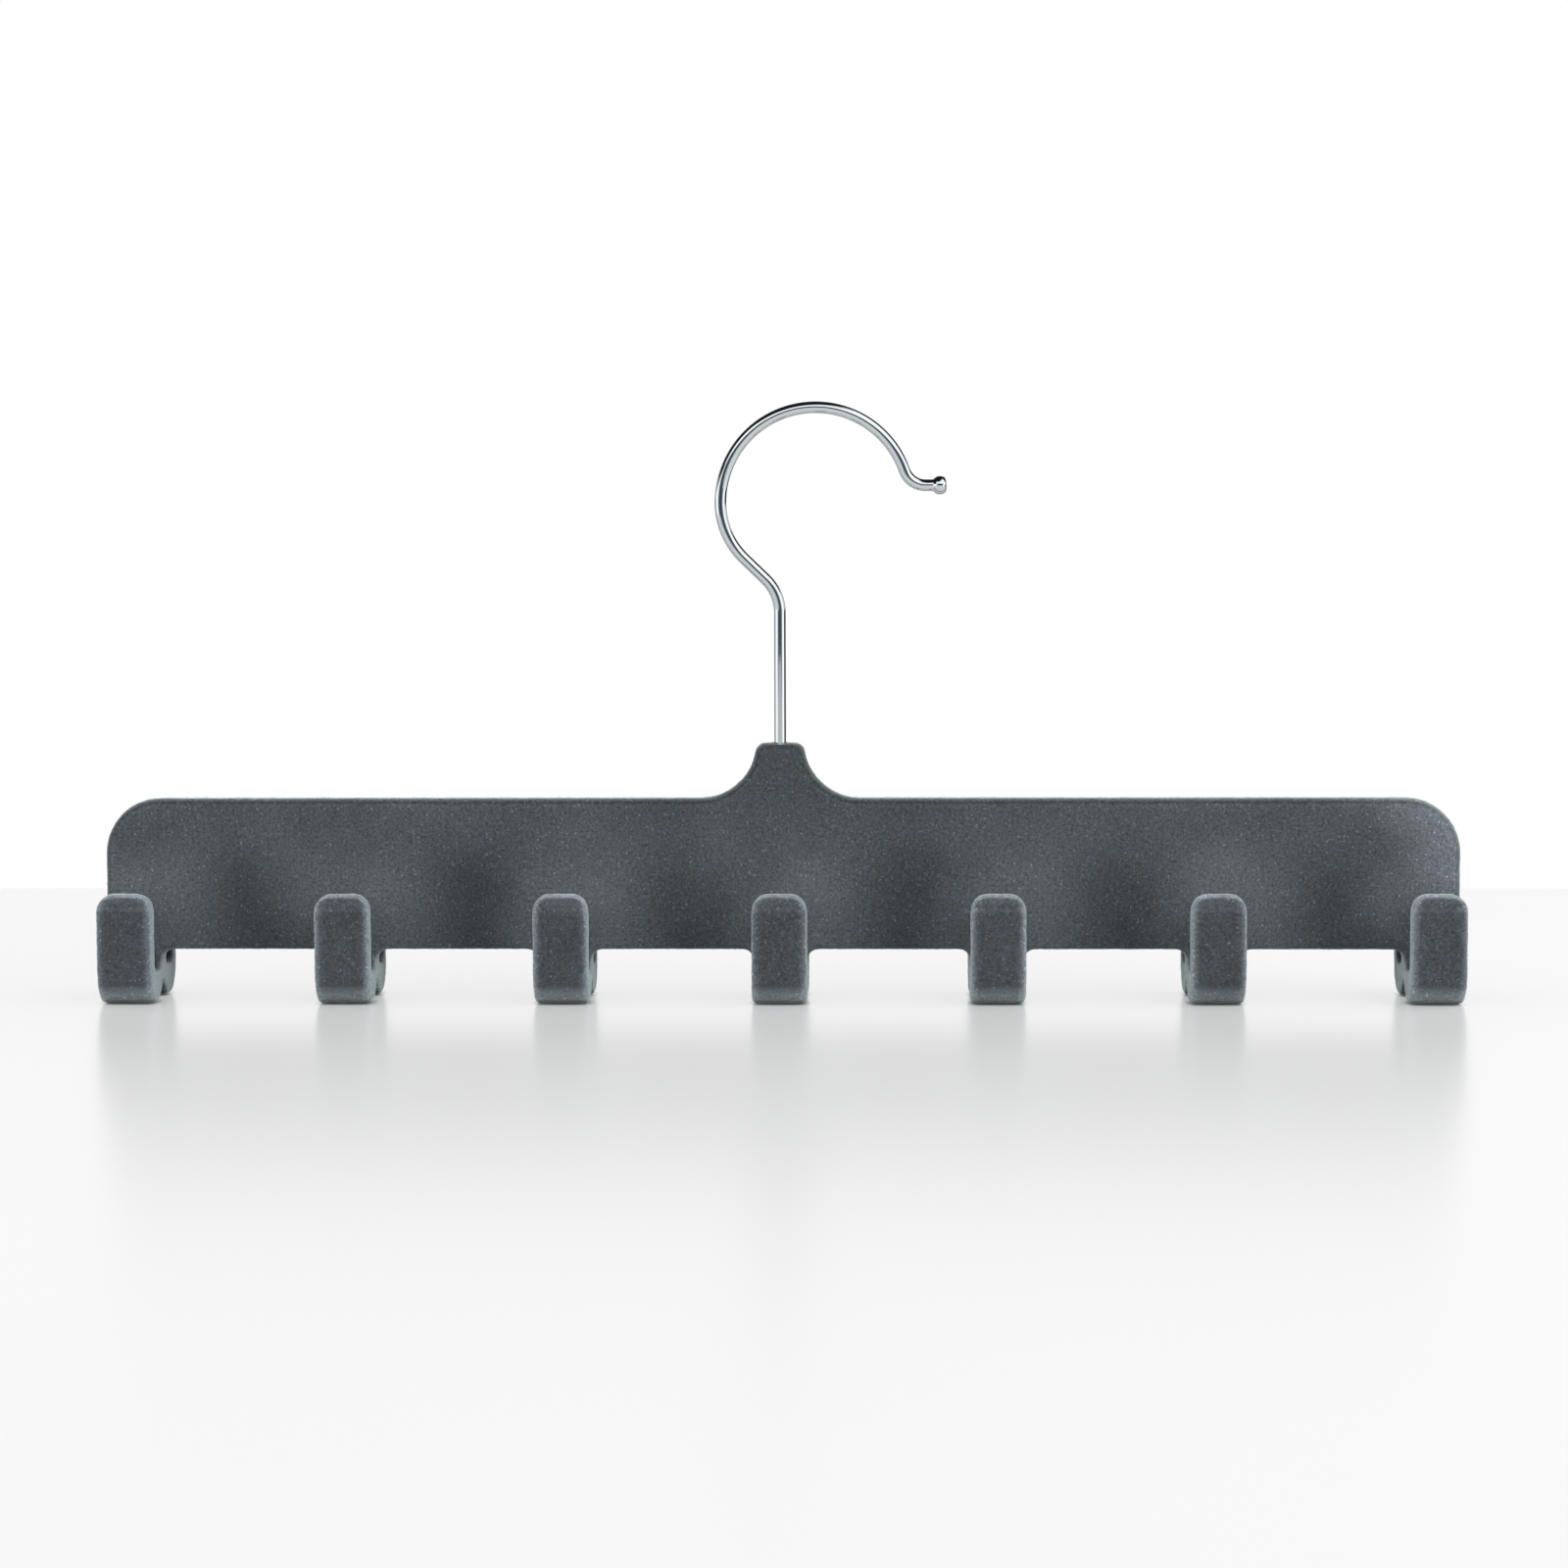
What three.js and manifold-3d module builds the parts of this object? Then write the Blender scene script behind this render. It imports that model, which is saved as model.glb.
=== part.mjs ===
// Belt hanger: a flat flocked bar on seven double-sided belt hooks, hung from a swivel wire hook.
// Millimetres. +X runs along the bar, -Y is the front, +Z is up. The origin is on the standing
// surface, midway along the bar and midway through its thickness.

import * as THREE from 'three';
import { mergeVertices } from 'three/addons/utils/BufferGeometryUtils.js';
import Module from 'manifold-3d';

const wasm = await Module();
wasm.setup();

// Bar
const BAR_LENGTH = 350;
const BAR_HEIGHT = 39;
const BAR_THICKNESS = 6.4;
const BAR_CORNER = 14;
const BAR_CLEARANCE = 13.1; // standing surface to the bar's lower edge
const EDGE_ROUND = 1.6; // rounding along every front, back and side edge of the moulding

// Neck that rises from the middle of the bar and holds the wire
const NECK_HEIGHT = 14.3;
const NECK_WIDTH = 12.2;
const NECK_SWEEP = 15; // radius of the hollow curve from the neck to the bar's top edge
const NECK_CORNER = 2.4;

// Belt hooks, each with a leg in front of the bar and one behind it
const HOOK_COUNT = 7;
const HOOK_WIDTH = 14;
const ROOT_FILLET = 2.4; // between the bar's lower edge and a hook's root
const CHANNEL_WIDTH = 8.4; // bar's face to the leg's inner face
const CHANNEL_FLOOR = 8.1; // height of the channel's floor
const CHANNEL_CORNER = 2.5;
const LEG_THICKNESS = 5.4;
const LEG_HEIGHT = 28.8;
const LEG_TOP_INNER = 2.2; // rounding of the leg's top towards the bar
const LEG_TOP_CORNER = 4.6; // rounding of the leg's top corners as seen from the front
const FOOT_RADIUS = 8; // from the leg's outer face round to the foot
const FOOT_FLAT = 1.9; // flat strip that the hook stands on
const NOTCH_HEIGHT = 5.8; // pointed notch between the front foot and the rear foot
const NOTCH_ROUND = 3.9; // from the foot round into the notch

// Wire hook
const WIRE_DIAMETER = 3;
const SHANK_HEIGHT = 33.7; // straight wire above the neck
const OFFSET_ANGLE = 46; // degrees that the wire leaves the upright by
const OFFSET_BEND = 12;
const OFFSET_LENGTH = 7.6; // straight wire between the two bends
const LOOP_LOWER_RADIUS = 20;
const LOOP_RADIUS = 24.4;
const LOOP_END_ANGLE = 19.4; // degrees above level where the loop turns out into its lip
const LIP_BEND = 5.6;
const LIP_LENGTH = 5.4; // straight wire from the bend to the tip's end
const TIP_DIAMETER = 4.7;
const TIP_LENGTH = 3.4;

// Swivel seat in the neck
const SEAT_DEPTH = 11; // neck's top to the underside of the wire's head
const HEAD_DIAMETER = 4.2;
const HEAD_HEIGHT = 2;
const RUNNING_GAP = 0.3; // all round the wire and its head

// Facets
const BEVEL_STEPS = 3;
const WIRE_SIDES = 12;
const WIRE_STEPS = 96;
const BORE_SIDES = 24;

// Heights and places that follow from the sizes above
const barTop = BAR_CLEARANCE + BAR_HEIGHT;
const neckTop = barTop + NECK_HEIGHT;
const seam = BAR_CLEARANCE - ROOT_FILLET;
const halfBar = BAR_THICKNESS / 2;
const legInner = halfBar + CHANNEL_WIDTH;
const legOuter = legInner + LEG_THICKNESS;
const hookPitch = (BAR_LENGTH - HOOK_WIDTH) / (HOOK_COUNT - 1);
const cutMargin = 2 * EDGE_ROUND; // material left on past a cut, so that its rounding is cut away too

const radians = THREE.MathUtils.degToRad;

// Points on an arc, in the order from one angle to the other, in degrees
function arc(x, y, radius, from, to, steps) {
  const points = [];
  for (let i = 0; i <= steps; i += 1) {
    const angle = radians(from + (to - from) * i / steps);
    points.push(new THREE.Vector2(x + radius * Math.cos(angle), y + radius * Math.sin(angle)));
  }
  return points;
}

// A closed outline without repeated points
function outline(points) {
  const kept = points.filter((point, i) => point.distanceTo(points[(i + 1) % points.length]) > 1e-4);
  return new THREE.Shape(kept);
}

// The same points mirrored about the upright axis, in reverse order
function mirrored(points) {
  return points.map((point) => new THREE.Vector2(-point.x, point.y)).reverse();
}

// A slab of the outline, as thick as given, with its edges rounded inside the outline
function roundedSlab(shape, thickness) {
  const depth = thickness - 2 * EDGE_ROUND;
  const geometry = new THREE.ExtrudeGeometry(shape, {
    depth,
    bevelEnabled: true,
    bevelThickness: EDGE_ROUND,
    bevelSize: EDGE_ROUND,
    bevelOffset: -EDGE_ROUND,
    bevelSegments: BEVEL_STEPS,
  });
  return geometry.translate(0, 0, -depth / 2);
}

// Turns an outline drawn in X and Z, which was extruded along its own Z, to run along Y
function alongY(geometry) {
  return geometry.rotateX(Math.PI / 2);
}

// Turns an outline drawn in Y and Z, which was extruded along its own Z, to run along X
const yzToX = new THREE.Matrix4().makeBasis(
  new THREE.Vector3(0, 1, 0),
  new THREE.Vector3(0, 0, 1),
  new THREE.Vector3(1, 0, 0),
);

// A closed geometry as a solid that can be joined and cut
function solid(geometry) {
  const bare = geometry.index ? geometry.toNonIndexed() : geometry.clone();
  bare.deleteAttribute('normal');
  bare.deleteAttribute('uv');
  const merged = mergeVertices(bare, 1e-4);
  const index = merged.index.array;
  const triangles = [];
  for (let i = 0; i < index.length; i += 3) {
    const [a, b, c] = [index[i], index[i + 1], index[i + 2]];
    if (a !== b && b !== c && c !== a) {
      triangles.push(a, b, c);
    }
  }
  return new wasm.Manifold(new wasm.Mesh({
    numProp: 3,
    vertProperties: new Float32Array(merged.attributes.position.array),
    triVerts: new Uint32Array(triangles),
  }));
}

// A solid back as a geometry
function geometryOf(body) {
  const mesh = body.getMesh();
  const geometry = new THREE.BufferGeometry();
  geometry.setAttribute('position', new THREE.BufferAttribute(new Float32Array(mesh.vertProperties), 3));
  geometry.setIndex(new THREE.BufferAttribute(new Uint32Array(mesh.triVerts), 1));
  geometry.computeVertexNormals();
  return geometry;
}

function box(x0, x1, y0, y1, z0, z1) {
  const geometry = new THREE.BoxGeometry(x1 - x0, y1 - y0, z1 - z0);
  return solid(geometry.translate((x0 + x1) / 2, (y0 + y1) / 2, (z0 + z1) / 2));
}

// A turned solid about the Z axis from a profile of radius and height
function turned(profile, sides) {
  const points = profile.map(([radius, height]) => new THREE.Vector2(radius, height));
  return new THREE.LatheGeometry(points, sides).rotateX(Math.PI / 2);
}

// Bar: one outline with the neck on top and a short root for each hook below, rounded all round
function hookCentre(i) {
  return -BAR_LENGTH / 2 + HOOK_WIDTH / 2 + i * hookPitch;
}

function barOutline() {
  const rootEnd = seam - cutMargin;
  const points = [];
  for (let i = 0; i < HOOK_COUNT; i += 1) {
    const left = hookCentre(i) - HOOK_WIDTH / 2;
    const right = hookCentre(i) + HOOK_WIDTH / 2;
    if (i > 0) {
      points.push(...arc(left - ROOT_FILLET, seam, ROOT_FILLET, 90, 0, 4));
    }
    points.push(new THREE.Vector2(left, rootEnd), new THREE.Vector2(right, rootEnd));
    if (i < HOOK_COUNT - 1) {
      points.push(...arc(right + ROOT_FILLET, seam, ROOT_FILLET, 180, 90, 4));
    }
  }
  // the hollow sweep and the neck's corner are two arcs that touch
  const sweepX = NECK_WIDTH / 2 + NECK_SWEEP;
  const rise = NECK_SWEEP - NECK_HEIGHT + NECK_CORNER;
  const run = Math.sqrt((NECK_SWEEP + NECK_CORNER) ** 2 - rise ** 2);
  const meet = THREE.MathUtils.radToDeg(Math.atan2(rise, run));
  const rightTop = [
    ...arc(BAR_LENGTH / 2 - BAR_CORNER, barTop - BAR_CORNER, BAR_CORNER, 0, 90, 8),
    ...arc(sweepX, barTop + NECK_SWEEP, NECK_SWEEP, 270, 180 + meet, 8),
    ...arc(sweepX - run, neckTop - NECK_CORNER, NECK_CORNER, meet, 90, 4),
  ];
  points.push(...rightTop, ...mirrored(rightTop));
  return outline(points);
}

function makeBar() {
  const headTop = neckTop - SEAT_DEPTH + HEAD_HEIGHT;
  const pocket = HEAD_DIAMETER / 2 + RUNNING_GAP;
  const bore = WIRE_DIAMETER / 2 + RUNNING_GAP;
  const seat = turned([
    [0, neckTop - SEAT_DEPTH - RUNNING_GAP],
    [pocket, neckTop - SEAT_DEPTH - RUNNING_GAP],
    [pocket, headTop + RUNNING_GAP],
    [bore, headTop + RUNNING_GAP],
    [bore, neckTop + cutMargin],
    [0, neckTop + cutMargin],
  ], BORE_SIDES);
  const belowSeam = box(-BAR_LENGTH, BAR_LENGTH, -legOuter, legOuter, seam - 2 * cutMargin, seam);
  return solid(alongY(roundedSlab(barOutline(), BAR_THICKNESS)))
    .subtract(belowSeam)
    .subtract(solid(seat));
}

// Belt hook: its side profile drawn once for the rear half and mirrored, then rounded at both ends
function hookOutline() {
  const legTopOuter = LEG_THICKNESS - LEG_TOP_INNER;
  const footStart = legOuter - FOOT_RADIUS;
  const footEnd = footStart - FOOT_FLAT;
  // the notch's side runs straight from its peak and touches the rounding
  const peak = new THREE.Vector2(-footEnd, NOTCH_HEIGHT - NOTCH_ROUND);
  const touch = THREE.MathUtils.radToDeg(peak.angle() + Math.acos(NOTCH_ROUND / peak.length()));
  const channelBend = CHANNEL_FLOOR + CHANNEL_CORNER;
  const rear = [
    new THREE.Vector2(0, NOTCH_HEIGHT),
    ...arc(footEnd, NOTCH_ROUND, NOTCH_ROUND, touch, 270, 4),
    ...arc(footStart, FOOT_RADIUS, FOOT_RADIUS, 270, 360, 6),
    ...arc(legInner + LEG_TOP_INNER, LEG_HEIGHT - legTopOuter, legTopOuter, 0, 90, 4),
    ...arc(legInner + LEG_TOP_INNER, LEG_HEIGHT - LEG_TOP_INNER, LEG_TOP_INNER, 90, 180, 3),
    ...arc(legInner - CHANNEL_CORNER, channelBend, CHANNEL_CORNER, 0, -90, 3),
    ...arc(halfBar + CHANNEL_CORNER, channelBend, CHANNEL_CORNER, 270, 180, 3),
    new THREE.Vector2(halfBar, seam + cutMargin),
  ];
  return outline([...rear, ...mirrored(rear)]);
}

function makeHook() {
  const half = HOOK_WIDTH / 2;
  const past = half + cutMargin;
  const top = LEG_HEIGHT + cutMargin;
  const cornerX = half - LEG_TOP_CORNER;
  const cornerZ = LEG_HEIGHT - LEG_TOP_CORNER;
  const corner = [
    ...arc(cornerX, cornerZ, LEG_TOP_CORNER, 90, 0, 4),
    new THREE.Vector2(past, cornerZ),
    new THREE.Vector2(past, top),
    new THREE.Vector2(cornerX, top),
  ];
  const across = { depth: 2 * (legOuter + cutMargin), bevelEnabled: false };
  const rightCorner = alongY(new THREE.ExtrudeGeometry(outline(corner), across));
  const leftCorner = alongY(new THREE.ExtrudeGeometry(outline(mirrored(corner)), across));
  rightCorner.translate(0, legOuter + cutMargin, 0);
  leftCorner.translate(0, legOuter + cutMargin, 0);
  const aboveSeam = box(-past, past, -halfBar - RUNNING_GAP, halfBar + RUNNING_GAP, seam, seam + 2 * cutMargin);
  return solid(roundedSlab(hookOutline(), HOOK_WIDTH).applyMatrix4(yzToX))
    .subtract(solid(rightCorner))
    .subtract(solid(leftCorner))
    .subtract(aboveSeam);
}

// Wire hook: one bent wire, headed inside the neck and upset to a rounded tip at the lip
class BendCurve extends THREE.Curve {
  constructor(x, z, radius, from, to) {
    super();
    Object.assign(this, { x, z, radius, from, to });
  }

  getPoint(t, target = new THREE.Vector3()) {
    const angle = radians(this.from + (this.to - this.from) * t);
    const x = this.x + this.radius * Math.cos(angle);
    const z = this.z + this.radius * Math.sin(angle);
    return target.set(x, 0, z);
  }
}

function makeWire() {
  const path = new THREE.CurvePath();
  const at = new THREE.Vector3(0, 0, neckTop - SEAT_DEPTH + HEAD_HEIGHT / 2);
  let heading = 90;
  const straight = (length) => {
    const end = at.clone();
    end.x += length * Math.cos(radians(heading));
    end.z += length * Math.sin(radians(heading));
    path.add(new THREE.LineCurve3(at.clone(), end));
    at.copy(end);
  };
  // a positive turn bends the wire to its left, a negative one to its right
  const bend = (radius, turn) => {
    const side = Math.sign(turn) * 90;
    const x = at.x + radius * Math.cos(radians(heading + side));
    const z = at.z + radius * Math.sin(radians(heading + side));
    const curve = new BendCurve(x, z, radius, heading - side, heading - side + turn);
    path.add(curve);
    curve.getPoint(1, at);
    heading += turn;
  };
  straight(SEAT_DEPTH - HEAD_HEIGHT / 2 + SHANK_HEIGHT);
  bend(OFFSET_BEND, OFFSET_ANGLE);
  straight(OFFSET_LENGTH);
  bend(LOOP_LOWER_RADIUS, -OFFSET_ANGLE);
  bend(LOOP_RADIUS, LOOP_END_ANGLE - 180);
  bend(LIP_BEND, 90 - LOOP_END_ANGLE);
  straight(LIP_LENGTH - TIP_LENGTH / 2);

  const section = outline(arc(0, 0, WIRE_DIAMETER / 2, 0, 360, WIRE_SIDES).slice(1));
  const wire = new THREE.ExtrudeGeometry(section, { steps: WIRE_STEPS, extrudePath: path });
  const headBase = neckTop - SEAT_DEPTH;
  const head = turned([
    [0, headBase],
    [HEAD_DIAMETER / 2, headBase],
    [HEAD_DIAMETER / 2, headBase + HEAD_HEIGHT],
    [0, headBase + HEAD_HEIGHT],
  ], WIRE_SIDES);
  const tipRadius = TIP_DIAMETER / 2;
  const tip = turned([
    [0, -TIP_LENGTH / 2],
    [WIRE_DIAMETER / 2 * 1.05, -TIP_LENGTH / 2],
    [tipRadius * 0.94, -TIP_LENGTH * 0.22],
    [tipRadius, 0],
    [tipRadius * 0.9, TIP_LENGTH * 0.24],
    [tipRadius * 0.6, TIP_LENGTH * 0.43],
    [0, TIP_LENGTH / 2],
  ], WIRE_SIDES).rotateY(Math.PI / 2).translate(at.x, 0, at.z);
  return solid(wire).add(solid(head)).add(solid(tip));
}

const flock = new THREE.MeshStandardMaterial({ name: 'flock', color: 0x575d62, roughness: 0.95, metalness: 0 });
const chrome = new THREE.MeshStandardMaterial({ name: 'chrome', color: 0xc9ccce, roughness: 0.12, metalness: 1 });

function piece(name, body, material, x = 0) {
  const mesh = new THREE.Mesh(geometryOf(body), material);
  mesh.name = name;
  mesh.position.x = x;
  return mesh;
}

const hanger = new THREE.Group();
hanger.add(piece('bar', makeBar(), flock));
for (let i = 0; i < HOOK_COUNT; i += 1) {
  hanger.add(piece(`belt_hook_${i + 1}`, makeHook(), flock, hookCentre(i)));
}
hanger.add(piece('wire_hook', makeWire(), chrome));

export default hanger;
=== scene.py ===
"""Belt hanger: a flocked bar with seven double belt hooks and a chromed wire hook.

The pieces are modelled in millimetres and scaled to metres when they are finished.
The grain of the materials, the stage and the camera's place are in metres.
+X runs along the bar, -Y is the front and +Z is up.
"""
import bisect
import itertools
import math
import random

import bmesh
import bpy
from mathutils import Matrix, Vector, noise


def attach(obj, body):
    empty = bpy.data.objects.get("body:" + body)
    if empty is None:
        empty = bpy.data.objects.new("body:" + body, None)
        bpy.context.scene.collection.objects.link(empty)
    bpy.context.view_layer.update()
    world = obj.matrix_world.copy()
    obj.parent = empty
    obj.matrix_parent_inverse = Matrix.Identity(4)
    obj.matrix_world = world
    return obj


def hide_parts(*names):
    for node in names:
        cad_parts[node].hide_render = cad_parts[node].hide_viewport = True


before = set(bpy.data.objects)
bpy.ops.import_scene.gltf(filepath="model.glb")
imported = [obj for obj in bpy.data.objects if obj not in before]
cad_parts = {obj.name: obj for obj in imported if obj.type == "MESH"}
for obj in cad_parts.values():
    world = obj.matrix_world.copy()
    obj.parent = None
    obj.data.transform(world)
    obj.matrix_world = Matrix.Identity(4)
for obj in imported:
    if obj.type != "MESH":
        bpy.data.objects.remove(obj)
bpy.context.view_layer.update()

MM = 0.001

# Bar and neck
BAR_LENGTH = 350.0
BAR_BOTTOM = 13.1
BAR_TOP = 52.1
BAR_THICKNESS = 6.4
BAR_CORNER = 14.0
BAR_RIM = 1.6
NECK_TOP = 66.4
NECK_HALF_TOP = 5.9
NECK_HALF_FOOT = 8.0
NECK_SWEEP = 12.2
NECK_CORNER = 2.0

# Belt hooks
HOOK_COUNT = 7
HOOK_WIDTH = 14.0
HOOK_PITCH = (BAR_LENGTH - HOOK_WIDTH) / (HOOK_COUNT - 1)
HOOK_RIM = 0.8
HOOK_INSET = 0.1  # drawn in at each side for the pile that goes on later
HOOK_TOP = BAR_BOTTOM - 1.0
HOOK_BLEND = 2.0  # height in which the bar's tone gives way to the hook's
HALF_OVERLAP = 0.4  # how far each half of a hook reaches past the middle
ROOT_BOTTOM = BAR_BOTTOM - 5.0
ROOT_FILLET = 2.4
LEG_INNER = 11.6
LEG_OUTER = 17.0
LEG_HEIGHT = 28.8
LEG_TOP_OUTER = 3.2
LEG_TOP_INNER = 2.1
LEG_TOP_CORNER = 4.6
LEG_ZONE = LEG_INNER - 1.0  # only the legs lie further out than this
CHANNEL_FLOOR = 8.1
CHANNEL_CORNER = 2.5
FOOT_RADIUS = 8.0
NOTCH_HEIGHT = 5.9
NOTCH_HALF_WIDTH = 5.4
NOTCH_FOOT_ROUND = 1.7
CORNER_STEPS = 4  # at the least: a large corner has one for each millimetre
RIM_STEPS = 4

# Wire hook, with angles in degrees
WIRE_RADIUS = 1.5
WIRE_SIDES = 32
WIRE_FOOT = NECK_TOP - 8.0
BORE_RADIUS = 2.2
BORE_FLOOR = WIRE_FOOT - 2.0
BORE_FLOOR_MARGIN = 1.0
DRILL_LENGTH = 24.0
SHANK_TOP = 100.1
SIDESTEP_TURN = 46.0
SIDESTEP_LENGTH = 7.6
SIDESTEP_LOWER_RADIUS = 12.0
SIDESTEP_UPPER_RADIUS = 20.0
LOOP_RADIUS = 24.4
LOOP_SHORTFALL = 19.4  # how far the loop stops short of a half turn
LIP_RADIUS = 5.6
LIP_LENGTH = 5.4
TIP_LENGTH = 3.4
TIP_PROFILE = (  # share of the tip's length, radius
    (0.06, 1.66), (0.18, 2.02), (0.32, 2.28), (0.48, 2.35),
    (0.68, 2.3), (0.84, 2.08), (0.94, 1.7), (1.0, 1.1))

# Flock
SKIN_VOXEL = 0.76
SKIN_SMOOTHINGS = 3
PILE_DEPTH = 0.2
PILE_UNEVENNESS = 0.07
FINE_LUMPS = 0.9  # lumps to a millimetre
BROAD_LUMPS = 0.23
BROAD_SHARE = 0.6
EDGE_TURN = 0.08
FIBRE_SEED = 11
FIBRE_BATCHES = 60
FIBRES_PER_BATCH = 200
FIBRE_LENGTH = (0.4, 1.1)
FIBRE_RADIUS = 0.038  # coarser than real fibre, so that it shows
FIBRE_TIP_RADIUS = 0.3 * FIBRE_RADIUS
FIBRE_LIFT = (0.02, 0.45)
FIBRE_MIDDLE = 0.45  # share of its length that the middle is past the root, which is sunk a little
FIBRE_LOWEST = 1.0
FIBRE_BORE_MARGIN = 0.8

# Materials, with the sizes of their grain
TUFT_SIZE = 0.0007
FIBRE_END_SPACING = 0.0011
NAP_PATCH = 0.024
NAP_DRIFT = 0.014
PALEST_PAINTED_LIGHT = 3.4
FIBRE_SHADE_PATCH = 0.002
DRAW_MARK_SIZE = 0.0012
TABLE_CLOUD_SIZE = 0.25
HOOK_WAVE = 2 * math.pi / (HOOK_PITCH * MM)  # one turn from hook to hook

# Stage and camera
TABLE_HALF_SIZE = (0.9, 1.188, 1.0)
TABLE_MIDDLE = (0, -0.912, -0.0001)  # a hair below the feet
TABLE_WHITE_SHARE = 0.6
LIGHT_AIM = (0, 0, 0.05)
ROOM = (  # what bright metal mirrors, from the camera's side to the backdrop
    (0.0, "#3c4347"), (0.10, "#59636a"), (0.16, "#e4eaec"), (0.24, "#ffffff"), (0.49, "#ffffff"),
    (0.54, "#2b3033"), (0.90, "#202427"), (0.95, "#f4f6f7"), (1.0, "#ffffff"))
CAMERA_PLACE = (0.0248, -0.945, 0.127)
CAMERA_TURNS = (90 - 4.308, 0.142, 1.435)  # degrees
CAMERA_LENS = 84.1
CAMERA_SENSOR = 36.0


def srgb(code):
    """A hex colour as linear RGBA."""
    values = [int(code[i:i + 2], 16) / 255 for i in (1, 3, 5)]
    linear = [v / 12.92 if v <= 0.04045 else ((v + 0.055) / 1.055) ** 2.4 for v in values]
    return (*linear, 1.0)


def add(tree, kind, inputs=None, **settings):
    """Adds a node, sets it up and fills its inputs with values or links."""
    item = tree.nodes.new(kind)
    for name, value in settings.items():
        setattr(item, name, value)
    for name, value in (inputs or {}).items():
        if isinstance(value, bpy.types.NodeSocket):
            tree.links.new(value, item.inputs[name])
        else:
            item.inputs[name].default_value = value
    return item


def blank_material(name):
    """A new material and its empty node tree."""
    material = bpy.data.materials.new(name)
    material.use_nodes = True
    material.node_tree.nodes.clear()
    return material, material.node_tree


def finish_piece(name, bm, material, body):
    """Turns a bmesh in millimetres into a piece that rides on a body."""
    bmesh.ops.scale(bm, vec=(MM, MM, MM), verts=bm.verts)
    mesh = bpy.data.meshes.new(name)
    bm.to_mesh(mesh)
    bm.free()
    mesh.shade_smooth()
    mesh.materials.append(material)
    piece = bpy.data.objects.new(name, mesh)
    bpy.context.collection.objects.link(piece)
    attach(piece, body)
    return piece


def settle_order(bm):
    """Sorts a mesh by place, because some steps hand it over in another order on another run."""
    slanting = Vector((1.0, 37.713, 1471.531))  # a direction in which hardly any two places tie
    bm.verts.sort(key=lambda vert: vert.co.dot(slanting))
    bm.edges.sort(key=lambda edge: (edge.verts[0].co + edge.verts[1].co).dot(slanting))
    bm.faces.sort(key=lambda face: face.calc_center_median().dot(slanting))


def hook_x(i):
    """The middle of a hook along the bar."""
    return -BAR_LENGTH / 2 + HOOK_WIDTH / 2 + i * HOOK_PITCH


# Forms of the moulding

def slab(outline, along, thickness, rim):
    """A flat outline of (point, corner offset), with round corners, made thick, with round rims."""
    bm = bmesh.new()
    verts = [bm.verts.new(point) for point, _ in outline]
    bm.faces.new(verts)
    for vert, (_, offset) in zip(verts, outline):
        if offset:
            steps = max(CORNER_STEPS, round(offset))
            bmesh.ops.bevel(bm, geom=[vert], offset=offset, segments=steps, profile=0.5,
                            affect='VERTICES', material=-1)
    near = next(iter(bm.faces))
    grown = bmesh.ops.extrude_face_region(bm, geom=[near], use_keep_orig=True)["geom"]
    far = next(g for g in grown if isinstance(g, bmesh.types.BMFace))
    bmesh.ops.translate(bm, verts=far.verts, vec=Vector(along) * thickness)
    bmesh.ops.bevel(bm, geom=list(near.edges) + list(far.edges), offset=rim, segments=RIM_STEPS, profile=0.5,
                    affect='EDGES', clamp_overlap=True, material=-1)
    return bm


def bar_form():
    """Bar and neck in one outline, with a short filleted root for each hook."""
    half = BAR_LENGTH / 2
    points = []
    for i in range(HOOK_COUNT):
        left = hook_x(i) - HOOK_WIDTH / 2
        right = hook_x(i) + HOOK_WIDTH / 2
        if i > 0:
            points.append((left, BAR_BOTTOM, ROOT_FILLET))
        points += [(left, ROOT_BOTTOM, 0), (right, ROOT_BOTTOM, 0)]
        if i < HOOK_COUNT - 1:
            points.append((right, BAR_BOTTOM, ROOT_FILLET))
    top = [
        (half, BAR_TOP, BAR_CORNER),
        (NECK_HALF_FOOT, BAR_TOP, NECK_SWEEP),
        (NECK_HALF_TOP, NECK_TOP, NECK_CORNER),
    ]
    points += top + [(-x, z, offset) for x, z, offset in reversed(top)]
    outline = [((x, -BAR_THICKNESS / 2, z), offset) for x, z, offset in points]
    return slab(outline, (0, 1, 0), BAR_THICKNESS, BAR_RIM)


def hook_form():
    """One double hook at the middle: its rear half from a side outline, then mirrored to the front."""
    half_bar = BAR_THICKNESS / 2
    side = -HOOK_WIDTH / 2 + HOOK_INSET
    leg_top = LEG_HEIGHT - PILE_DEPTH
    points = [
        (-HALF_OVERLAP, NOTCH_HEIGHT, 0),
        (NOTCH_HALF_WIDTH, 0.0, NOTCH_FOOT_ROUND),
        (LEG_OUTER, 0.0, FOOT_RADIUS),
        (LEG_OUTER, leg_top, LEG_TOP_OUTER),
        (LEG_INNER, leg_top, LEG_TOP_INNER),
        (LEG_INNER, CHANNEL_FLOOR, CHANNEL_CORNER),
        (half_bar, CHANNEL_FLOOR, CHANNEL_CORNER),
        (half_bar, HOOK_TOP, 0),
        (-HALF_OVERLAP, HOOK_TOP, 0),
    ]
    outline = [((side, y, z), offset) for y, z, offset in points]
    bm = slab(outline, (1, 0, 0), -2 * side, HOOK_RIM)
    bmesh.ops.mirror(bm, geom=bm.verts[:] + bm.edges[:] + bm.faces[:], axis='Y', merge_dist=-1.0)
    bmesh.ops.recalc_face_normals(bm, faces=bm.faces)
    return bm


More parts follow.
